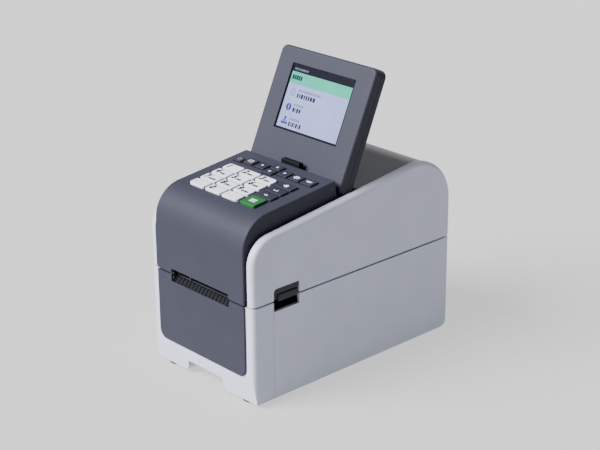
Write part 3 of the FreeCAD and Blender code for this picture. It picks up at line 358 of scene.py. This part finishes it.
def rotated(points, degrees, centre=(0, 0)):
    cos, sin = math.cos(math.radians(degrees)), math.sin(math.radians(degrees))
    x0, y0 = centre
    return [(x0 + (x - x0) * cos - (y - y0) * sin, y0 + (x - x0) * sin + (y - y0) * cos)
            for x, y in points]


def finish_mesh(name, shell, place, material, body):
    """Turn a bmesh into a scene object that rides on a body."""
    bmesh.ops.recalc_face_normals(shell, faces=shell.faces)
    mesh = bpy.data.meshes.new(name)
    shell.to_mesh(mesh)
    shell.free()
    mesh.transform(place)
    thing = bpy.data.objects.new(name, mesh)
    bpy.context.scene.collection.objects.link(thing)
    mesh.materials.append(material)
    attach(thing, body)
    return thing


def extrude_outline(shell, points, low, high):
    """Add one flat plate with the given outline, in millimetres, between two heights in metres."""
    ring = [shell.verts.new((x * MM, y * MM, low)) for x, y in points]
    face = shell.faces.new(ring)
    grown = bmesh.ops.extrude_face_region(shell, geom=[face])
    moved = [item for item in grown["geom"] if isinstance(item, bmesh.types.BMVert)]
    bmesh.ops.translate(shell, verts=moved, vec=(0, 0, high - low))


def marks(name, outlines, place, material, body, digit=None, high=INK):
    """Printed marks as thin plates: outlines in millimetres, and perhaps a digit (text, x, y, size)."""
    shell = bmesh.new()
    for points in outlines:
        extrude_outline(shell, points, 0.0, high)
    if digit:
        add_digit(shell, digit, high)
    return finish_mesh(name, shell, place, material, body)


def add_digit(shell, digit, high):
    text, x, y, size = digit
    curve = bpy.data.curves.new("digit", "FONT")
    curve.body = text
    curve.size = size * MM
    curve.shear = DIGIT_SHEAR
    curve.offset = DIGIT_WEIGHT
    curve.extrude = high / 2
    curve.align_x = "CENTER"
    curve.align_y = "CENTER"
    writer = bpy.data.objects.new("digit", curve)
    mesh = bpy.data.meshes.new_from_object(writer)
    mesh.transform(Matrix.Translation((x * MM, y * MM, high / 2)))
    shell.from_mesh(mesh)
    bpy.data.objects.remove(writer)
    bpy.data.curves.remove(curve)
    bpy.data.meshes.remove(mesh)


# ---- key legends, in millimetres --------------------------------------------------------------
DIGIT_PLACE = (-5.2, 0.3, 7.8)     # x, y and size
LETTER_PITCH = 2.1
LETTER_SIZE = (1.85, 2.2)
LETTERS_START = (-1.7, -2.4)       # lower left corner of the first letter
LETTERS_PER_KEY = {"1": 0, "2": 3, "3": 3, "4": 3, "5": 3, "6": 3, "7": 4, "8": 3, "9": 4, "0": 0}
DASH = rectangle(-6.4, -4.2, 0.3, 1.0)
DOT = disc(-5.5, 0.0, 0.6, 14)


def letter_ticks(count):
    """Small plain strokes in place of the letters beside a digit."""
    x, y = LETTERS_START
    width, height = LETTER_SIZE
    starts = [x + LETTER_PITCH * i for i in range(count)]
    return [rectangle(start, start + width, y, y + height) for start in starts]


def number_legends():
    for text, letters in LETTERS_PER_KEY.items():
        marks("legend_" + text, letter_ticks(letters), key_top("key_" + text), DARK_INK,
              "button_" + text, digit=(text, *DIGIT_PLACE))
    marks("legend_dash", [DASH], key_top("key_dash"), DARK_INK, "button_dash")
    marks("legend_dot", [DOT], key_top("key_dot"), DARK_INK, "button_dot")


def triangle(x, y, size, degrees):
    points = [(x + size, y), (x - 0.7 * size, y + size), (x - 0.7 * size, y - size)]
    return rotated(points, degrees, (x, y))


ICONS = {
    "power": [arc_band(0, 0, 1.5, 0.5, -240, 60), rectangle(-0.25, 0.25, 0.4, 2.3)],
    "menu": [rectangle(-2.4, -1.9, -1.7, 1.7), rectangle(-1.9, 1.9, 1.2, 1.7),
             rectangle(1.9, 2.4, -1.7, 1.7), rectangle(-0.9, 1.9, -1.7, -1.2)],
    "left": [triangle(0, 0, 1.35, 180)],
    "right": [triangle(0, 0, 1.35, 0)],
    "up": [triangle(0, 0, 1.3, 90)],
    "down": [triangle(0, 0, 1.3, -90)],
    "link": [arc_band(-0.9, 0, 1.5, 0.7, 60, 300), arc_band(0.9, 0, 1.5, 0.7, -120, 120),
             rectangle(-0.9, 0.9, -0.35, 0.35)],
    "feed": [rounded(-3.2, 3.2, 0.1, 1.0, 0.4), rectangle(-2.2, 2.2, -1.1, -0.7)],
    "select": [disc(0.6, 0, 1.9), rectangle(-2.6, -0.8, -0.35, 0.35)],
    "ok": [rectangle(-1.6, 1.8, -0.75, -0.2), rectangle(1.2, 1.8, -0.3, 1.4),
           triangle(-1.9, -0.48, 0.9, 180)],
    "back": [triangle(-1.6, 0, 1.0, 180), arc_band(-0.3, -0.6, 1.4, 0.5, -40, 100),
             rectangle(-1.3, 0.1, 0.5, 1.0)],
    "print": [rectangle(x, x + 1.6, y, y + 1.7) for x in (-3.0, -0.8, 1.4) for y in (-2.1, 0.4)],
}


def icon_legends():
    for name, outlines in ICONS.items():
        ink = DIM_INK if name == "power" else PALE_INK
        marks("legend_" + name, outlines, key_top("key_" + name), ink, "button_" + name)


# ---- the screen's picture, in millimetres from its top left corner ----------------------------
BORDER = 1.65              # black border round the picture
STATUS_BAR = 5.0
TITLE_BAND = 9.8
STATUS_LINE = (2.0, -3.4, 1.6)     # left end, base and height of the bars that stand for words
TITLE_LINE = (1.6, -11.4, 3.8)
WORD_SPACE = 0.7
TITLE_SPACE = 0.5
ROWS = (21.5, 33.5, 45.5)  # middle of each row, below the picture's top
ROW_X = 12.8               # left end of a row's words
CAPTION = (1.4, 1.9, 0.6)  # a row's small words: base above the row's middle, height and space
VALUE = (-3.6, 3.5, 0.9)   # a row's large words
CAPTION_WORDS = ((1.8, 1.6, 1.7, 1.8, 2.6, 1.8, 1.7, 1.6, 1.8, 2.4, 1.2), (1.8, 1.6, 1.7, 1.8, 1.6),
                 (1.8, 1.6, 2.4, 1.8, 1.6))
VALUE_WORDS = ((1.7, 1.2, 2.4, 1.4, 1.7, 1.7, 2.4, 2.4), (2.0, 0.7, 2.0, 1.8),
               (1.8, 0.6, 1.8, 0.6, 1.8, 0.6, 1.8))
STATUS_WORDS = (1.3, 1.3, 0.6, 1.3, 1.3, 2.2, 1.3, 1.3)
TITLE_WORDS = (2.1, 1.8, 1.9, 1.9, 1.7)
SIGN_SHEET = [rectangle(5.0, 5.6, -24.6, -19.0), rectangle(5.6, 9.4, -19.6, -19.0),
              rectangle(9.4, 10.0, -24.6, -19.0), rectangle(5.6, 9.4, -24.6, -24.0),
              rectangle(6.4, 8.8, -21.9, -21.3), rectangle(6.4, 8.0, -23.3, -22.7)]
SIGN_ROUND = disc(7.5, -34.0, 2.9)
SIGN_ROUND_MARK = rectangle(7.0, 8.0, -35.8, -32.4)
SIGN_TREE = [disc(7.5, -43.2, 1.2, 16), disc(5.0, -47.4, 1.2, 16), disc(7.5, -47.4, 1.2, 16),
             disc(10.0, -47.4, 1.2, 16), rectangle(7.2, 7.8, -46.2, -44.4),
             rectangle(4.8, 10.2, -45.6, -45.0)]


def screen_place():
    """The glass front: an XY plane in millimetre units, its origin at the picture's top left corner."""
    out = span("lcd_panel", FACE_OUT)[1]
    glass = [v.co for v in nodes["lcd_panel"].data.vertices if v.co.dot(FACE_OUT) > out - GLASS_DEPTH]
    left = min(point.x for point in glass) + BORDER * MM
    right = max(point.x for point in glass) - BORDER * MM
    top = max(point.dot(FACE_UP) for point in glass) - BORDER * MM
    bottom = min(point.dot(FACE_UP) for point in glass) + BORDER * MM
    place = plane(RIGHT, FACE_UP, FACE_OUT, left, top, out - LIFT)
    return place, (right - left) / MM, (top - bottom) / MM


def word_bars(x, y, height, widths, space):
    """A line of plain bars that stands for a line of text, from its left end at its base."""
    bars = []
    for width in widths:
        bars.append(rectangle(x, x + width, y, y + height))
        x += width + space
    return bars


def row_words(row, style, widths):
    """One line of words in a row of the picture; the row is given by its middle."""
    base, height, space = style
    return word_bars(ROW_X, base - row, height, widths, space)


def screen_picture():
    place, width, height = screen_place()

    def show(name, outlines, material, layer):
        """Marks on the glass; a higher layer covers the lower ones."""
        high = (layer + 1) * SCREEN_LAYER
        marks(name, outlines, place, material, "display", high=high)

    title_end = STATUS_BAR + TITLE_BAND
    show("screen_status_bar", [rectangle(0, width, -STATUS_BAR, 0)], SCREEN_DARK, 1)
    show("screen_title_band", [rectangle(0, width, -title_end, -STATUS_BAR)], SCREEN_GREEN, 1)
    show("screen_page", [rectangle(0, width, -height, -title_end)], SCREEN_PAPER, 1)
    status_words = word_bars(*STATUS_LINE, STATUS_WORDS, WORD_SPACE)
    title_words = word_bars(*TITLE_LINE, TITLE_WORDS, TITLE_SPACE)
    show("screen_status_marks", status_words, SCREEN_TICK, 2)
    show("screen_title_words", title_words, SCREEN_TEXT, 2)
    for index, row in enumerate(ROWS):
        number = str(index + 1)
        show("screen_caption_" + number, row_words(row, CAPTION, CAPTION_WORDS[index]), SCREEN_FAINT, 2)
        show("screen_value_" + number, row_words(row, VALUE, VALUE_WORDS[index]), SCREEN_TEXT, 2)
    show("screen_sign_sheet", SIGN_SHEET, SCREEN_FAINT, 2)
    show("screen_sign_round", [SIGN_ROUND], SCREEN_BLUE, 2)
    show("screen_sign_round_mark", [SIGN_ROUND_MARK], SCREEN_PAPER, 3)
    show("screen_sign_tree", SIGN_TREE, SCREEN_BLUE, 2)


# ---- small parts, in millimetres --------------------------------------------------------------
LAMP_R = 0.9
LAMP_INWARD = 3.0          # lamp's middle, right of the power key's left end
LAMP_BACK = 1.4            # behind the back of the up key
LAMP_SUNK = 0.7            # below the highest reach of the deck
FIN_X = (-13.0, 33.4)
FIN_HALF = 0.6             # half the thickness of a fin
# The fin's outline: y, and height above the tear bar's top.
FIN_OUTLINE = [(-109.0, 1.6), (-109.0, 6.0), (-103.0, 6.0), (-103.0, 0.8), (-106.4, 0.8)]
TOOTH_PITCH = 1.4
TOOTH_HALF = 0.45          # half a tooth's width at its root, as a share of the pitch
TOOTH_Y = (0.8, -0.35)     # root and tip, measured backwards from the bar's front
ROOT_DROP = (0.15, 0.75)   # top and bottom of a tooth's root, below the bar's top
TIP_DROP = (0.35, 0.6)     # the same at its tip
SPRING_TURNS = 6
SPRING_STEPS = 16          # points in each turn
SPRING_WIRE_R = 0.55
SPRING_INSET = 0.7         # from the rings' outside to the wire's centre line
SPRING_END = 0.8           # from each end of the stack of rings to the wire's end


def status_led():
    """A small domed lamp at the left end of the deck's back edge."""
    x = span("key_power", RIGHT)[0] + LAMP_INWARD * MM
    s = span("key_up", DECK_BACK)[1] + LAMP_BACK * MM
    height = span("top_housing", DECK_UP)[1] - LAMP_SUNK * MM
    shell = bmesh.new()
    bmesh.ops.create_uvsphere(shell, u_segments=20, v_segments=12, radius=LAMP_R * MM)
    place = plane(RIGHT, DECK_BACK, DECK_UP, x, s, height)
    finish_mesh("status_led", shell, place, LED, "cover")


def exit_fins():
    """Two thin fins that keep a curling label down in the exit slot."""
    bar_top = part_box("tear_bar")[1][2]
    for index, x in enumerate(FIN_X):
        shell = bmesh.new()
        extrude_outline(shell, FIN_OUTLINE, -FIN_HALF * MM, FIN_HALF * MM)
        basis = Matrix(((0, 0, 1), (1, 0, 0), (0, 1, 0))).to_4x4()
        place = Matrix.Translation((x * MM, 0, bar_top)) @ basis
        finish_mesh("exit_fin_" + str(index + 1), shell, place, DARK, "cover")


def tear_teeth():
    """The fine saw edge along the front of the tear bar."""
    low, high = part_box("tear_bar")
    pitch = TOOTH_PITCH * MM
    root_y, tip_y = (low[1] + y * MM for y in TOOTH_Y)
    upper, lower = ROOT_DROP
    count = int((high[0] - low[0]) / pitch)
    shell = bmesh.new()
    for i in range(count):
        x = low[0] + (i + 0.5) * pitch
        front = [shell.verts.new((x + side * pitch * TOOTH_HALF, root_y, high[2] - drop * MM))
                 for side, drop in ((-1, upper), (1, upper), (1, lower), (-1, lower))]
        tip = [shell.verts.new((x, tip_y, high[2] - drop * MM)) for drop in TIP_DROP]
        shell.faces.new((front[0], front[1], tip[0]))
        shell.faces.new((front[3], tip[1], front[2]))
        shell.faces.new((front[0], tip[0], tip[1], front[3]))
        shell.faces.new((front[1], front[2], tip[1], tip[0]))
        shell.faces.new((front[0], front[3], front[2], front[1]))
    # the teeth take the tear bar's dark grey colour, which is painted shade of the exit slot
    finish_mesh("tear_teeth", shell, Matrix.Identity(4), SHADED_TEAR_BAR, "base")


def coil_springs():
    """The two head springs as real wire, in place of their stacked rings."""
    low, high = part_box("head_springs")
    radius = (high[1] - low[1]) / 2 - SPRING_INSET * MM
    middle_y = middle((low[1], high[1]))
    rise = high[2] - low[2] - 2 * SPRING_END * MM
    points = SPRING_TURNS * SPRING_STEPS
    wire = bpy.data.curves.new("head_spring_wire", "CURVE")
    wire.dimensions = "3D"
    wire.bevel_depth = SPRING_WIRE_R * MM
    wire.bevel_resolution = 3
    for x in (low[0] + radius + SPRING_INSET * MM, high[0] - radius - SPRING_INSET * MM):
        spline = wire.splines.new("POLY")
        spline.points.add(points)
        for i, point in enumerate(spline.points):
            angle = 2 * math.pi * i / SPRING_STEPS
            z = low[2] + SPRING_END * MM + i / points * rise
            point.co = (x + radius * math.cos(angle), middle_y + radius * math.sin(angle), z, 1)
    thing = bpy.data.objects.new("head_spring_wire", wire)
    bpy.context.scene.collection.objects.link(thing)
    wire.materials.append(SPRING)
    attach(thing, "cover")
    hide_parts("head_springs")


number_legends()
icon_legends()
screen_picture()
status_led()
exit_fins()
tear_teeth()
coil_springs()


# ---- floor, light and camera ------------------------------------------------------------------
FLOOR_HALF = 6.0
FLOOR_GLOW = 0.8
FLOOR_SHADES = ((0.20, 0.20, 0.20, 1), (0.21, 0.21, 0.21, 1))
WORLD_STRENGTH = 0.2
KEY_FROM = (-0.31, -0.70, 0.64)    # the direction that the key light comes from
KEY_STRENGTH = 11.5
KEY_SOFTNESS = 40.0                # apparent width of the light, in degrees
BACK_PLACE = (-1.2, 2.6, 0.9)
BACK_AIM = (0.0, 0.0, 0.12)
BACK_SIZE = (3.0, 1.6)
BACK_POWER = 20.0
CAMERA_AIM = Vector((-0.0098, 0.0057, 0.1025))
CAMERA_DISTANCE = 1.30
CAMERA_AZIMUTH = math.radians(47.587)
CAMERA_ELEVATION = math.radians(21.584)
CAMERA_ROLL = math.radians(-0.491)
CAMERA_LENS = 94.17
CAMERA_SENSOR = 36.0


def floor():
    shell = bmesh.new()
    bmesh.ops.create_grid(shell, x_segments=1, y_segments=1, size=FLOOR_HALF)
    mesh = bpy.data.meshes.new("floor")
    shell.to_mesh(mesh)
    shell.free()
    thing = bpy.data.objects.new("floor", mesh)
    bpy.context.scene.collection.objects.link(thing)
    finish = Finish("floor_paper", IOR=1.3, Emission_Strength=FLOOR_GLOW)
    finish.colour(finish.ramp(finish.noise(1.5), *FLOOR_SHADES))
    finish.roughness(finish.spread(finish.noise(6.0), 0.85, 0.95))
    mesh.materials.append(finish.material)


def soft_sun(name, towards, strength, softness):
    """An even light from far away, given by the direction that it comes from."""
    lamp = bpy.data.lights.new(name, "SUN")
    lamp.energy = strength
    lamp.angle = math.radians(softness)
    thing = bpy.data.objects.new(name, lamp)
    thing.rotation_euler = Vector(towards).to_track_quat("Z", "Y").to_euler()
    bpy.context.scene.collection.objects.link(thing)


def area_light(name, position, aim, size, power):
    lamp = bpy.data.lights.new(name, "AREA")
    lamp.shape = "RECTANGLE"
    lamp.size = size[0]
    lamp.size_y = size[1]
    lamp.energy = power
    thing = bpy.data.objects.new(name, lamp)
    thing.location = position
    thing.rotation_euler = (Vector(aim) - Vector(position)).to_track_quat("-Z", "Y").to_euler()
    bpy.context.scene.collection.objects.link(thing)


def studio():
    world = bpy.data.worlds.new("studio")
    bpy.context.scene.world = world
    world.use_nodes = True
    background = world.node_tree.nodes["Background"]
    background.inputs["Color"].default_value = (1.0, 1.0, 1.0, 1.0)
    background.inputs["Strength"].default_value = WORLD_STRENGTH
    soft_sun("key_light", KEY_FROM, KEY_STRENGTH, KEY_SOFTNESS)
    area_light("back_light", BACK_PLACE, BACK_AIM, BACK_SIZE, BACK_POWER)


def camera():
    data = bpy.data.cameras.new("camera")
    data.sensor_width = CAMERA_SENSOR
    data.lens = CAMERA_LENS
    back = Vector((math.sin(CAMERA_AZIMUTH) * math.cos(CAMERA_ELEVATION),
                   -math.cos(CAMERA_AZIMUTH) * math.cos(CAMERA_ELEVATION), math.sin(CAMERA_ELEVATION)))
    thing = bpy.data.objects.new("camera", data)
    shift = Matrix.Translation(CAMERA_AIM + back * CAMERA_DISTANCE)
    turn = back.to_track_quat("Z", "Y").to_matrix().to_4x4()
    thing.matrix_world = shift @ turn @ Matrix.Rotation(CAMERA_ROLL, 4, "Z")
    bpy.context.scene.collection.objects.link(thing)
    bpy.context.scene.camera = thing


floor()
studio()
camera()
